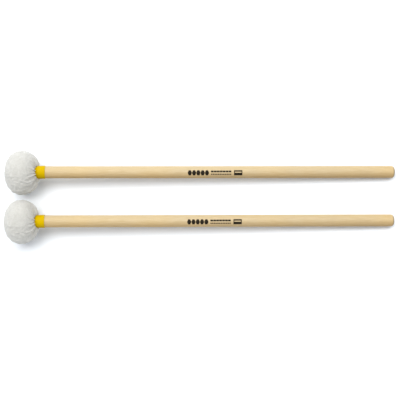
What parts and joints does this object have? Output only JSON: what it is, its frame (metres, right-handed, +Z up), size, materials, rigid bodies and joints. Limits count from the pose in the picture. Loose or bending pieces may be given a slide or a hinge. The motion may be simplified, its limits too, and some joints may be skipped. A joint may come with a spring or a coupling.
{
  "type": "pair of timpani mallets",
  "caption": "Timpani mallets laid side by side: each a round fleece-covered head on a straight round wooden shaft, with a yellow sleeve where the head is bound on.",
  "frame": {"origin": "on the surface that the mallets lie on, at the centre of the pair's outline", "axes": "+X along the shafts from the heads to the butts, +Y from mallet_b to mallet_a, +Z up"},
  "size_m": [0.3864, 0.0912, 0.043],
  "materials": {
    "shaft_wood": "fine-grained light hardwood, sanded, thin satin lacquer",
    "core_wood": "turned, unfinished",
    "felt": "firm pressed felt",
    "fleece": "soft white fleece with a short nap",
    "thread": "twisted waxed thread",
    "collar_plastic": "smooth yellow shrink sleeve, satin"
  },
  "bodies": {
    "mallet_a": {"shaft_a": "shaft_wood", "head_core_a": "core_wood", "felt_wrap_a": "felt", "front_felt_a": "felt", "back_felt_a": "felt", "fleece_cover_a": "fleece", "binding_thread_a": "thread", "collar_a": "collar_plastic"},
    "mallet_b": {"shaft_b": "shaft_wood", "head_core_b": "core_wood", "felt_wrap_b": "felt", "front_felt_b": "felt", "back_felt_b": "felt", "fleece_cover_b": "fleece", "binding_thread_b": "thread", "collar_b": "collar_plastic"}
  },
  "joints": [
    {"name": "mallet_b_apart", "type": "slide", "parent": "mallet_a", "child": "mallet_b", "axis": [0, -1, 0], "range_m": [-0.004, 0.25]}
  ]
}
